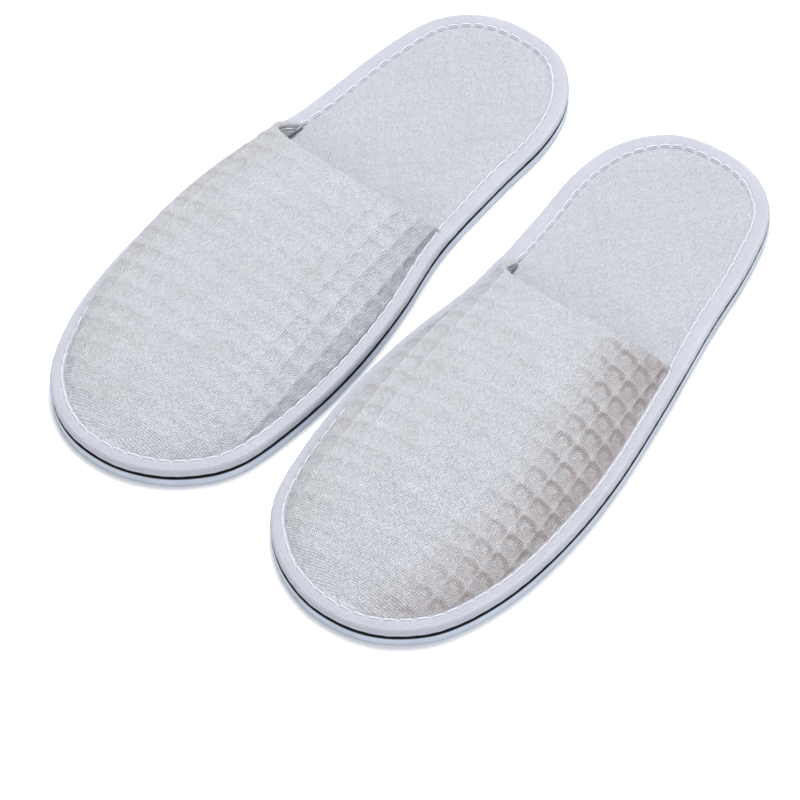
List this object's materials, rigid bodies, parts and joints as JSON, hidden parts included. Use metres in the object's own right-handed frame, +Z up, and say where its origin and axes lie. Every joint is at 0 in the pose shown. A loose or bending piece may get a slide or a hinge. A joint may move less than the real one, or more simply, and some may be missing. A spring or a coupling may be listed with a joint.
{
  "type": "spa slippers",
  "caption": "Pair of closed-toe, open-back spa slippers: padded waffle-weave uppers bound to flat insoles on thin foam outsoles.",
  "frame": {"origin": "on the floor under the middle of the pair", "axes": "+Z up, +Y towards the heels, +X towards the wearer's left slipper"},
  "size_m": [0.2326, 0.2964, 0.03],
  "materials": {
    "outsole": "closed-cell EVA foam, matt, pale grey-blue cut edge",
    "adhesive": "thin dried hot-melt film",
    "board": "stiff non-woven board",
    "foam": "soft open-cell foam",
    "insole_weave": "white fine waffle weave, matt",
    "binding_tape": "white knitted tape, matt",
    "thread": "white polyester thread",
    "upper_weave": "white coarse waffle weave, matt",
    "lining": "plain white woven lining, matt"
  },
  "bodies": {
    "left_slipper": {"left_outsole": "outsole", "left_sole_adhesive": "adhesive", "left_insole_board": "board", "left_insole_foam": "foam", "left_insole_cover": "insole_weave", "left_edge_binding": "binding_tape", "left_binding_thread": "thread", "left_upper_outer": "upper_weave", "left_upper_foam": "foam", "left_upper_lining": "lining", "left_hem_thread": "thread"},
    "right_slipper": {"right_outsole": "outsole", "right_sole_adhesive": "adhesive", "right_insole_board": "board", "right_insole_foam": "foam", "right_insole_cover": "insole_weave", "right_edge_binding": "binding_tape", "right_binding_thread": "thread", "right_upper_outer": "upper_weave", "right_upper_foam": "foam", "right_upper_lining": "lining", "right_hem_thread": "thread"}
  },
  "joints": [
    {"name": "right_slipper_lift", "type": "slide", "parent": "left_slipper", "child": "right_slipper", "axis": [0, 0, 1], "range_m": [0, 0.15]}
  ]
}
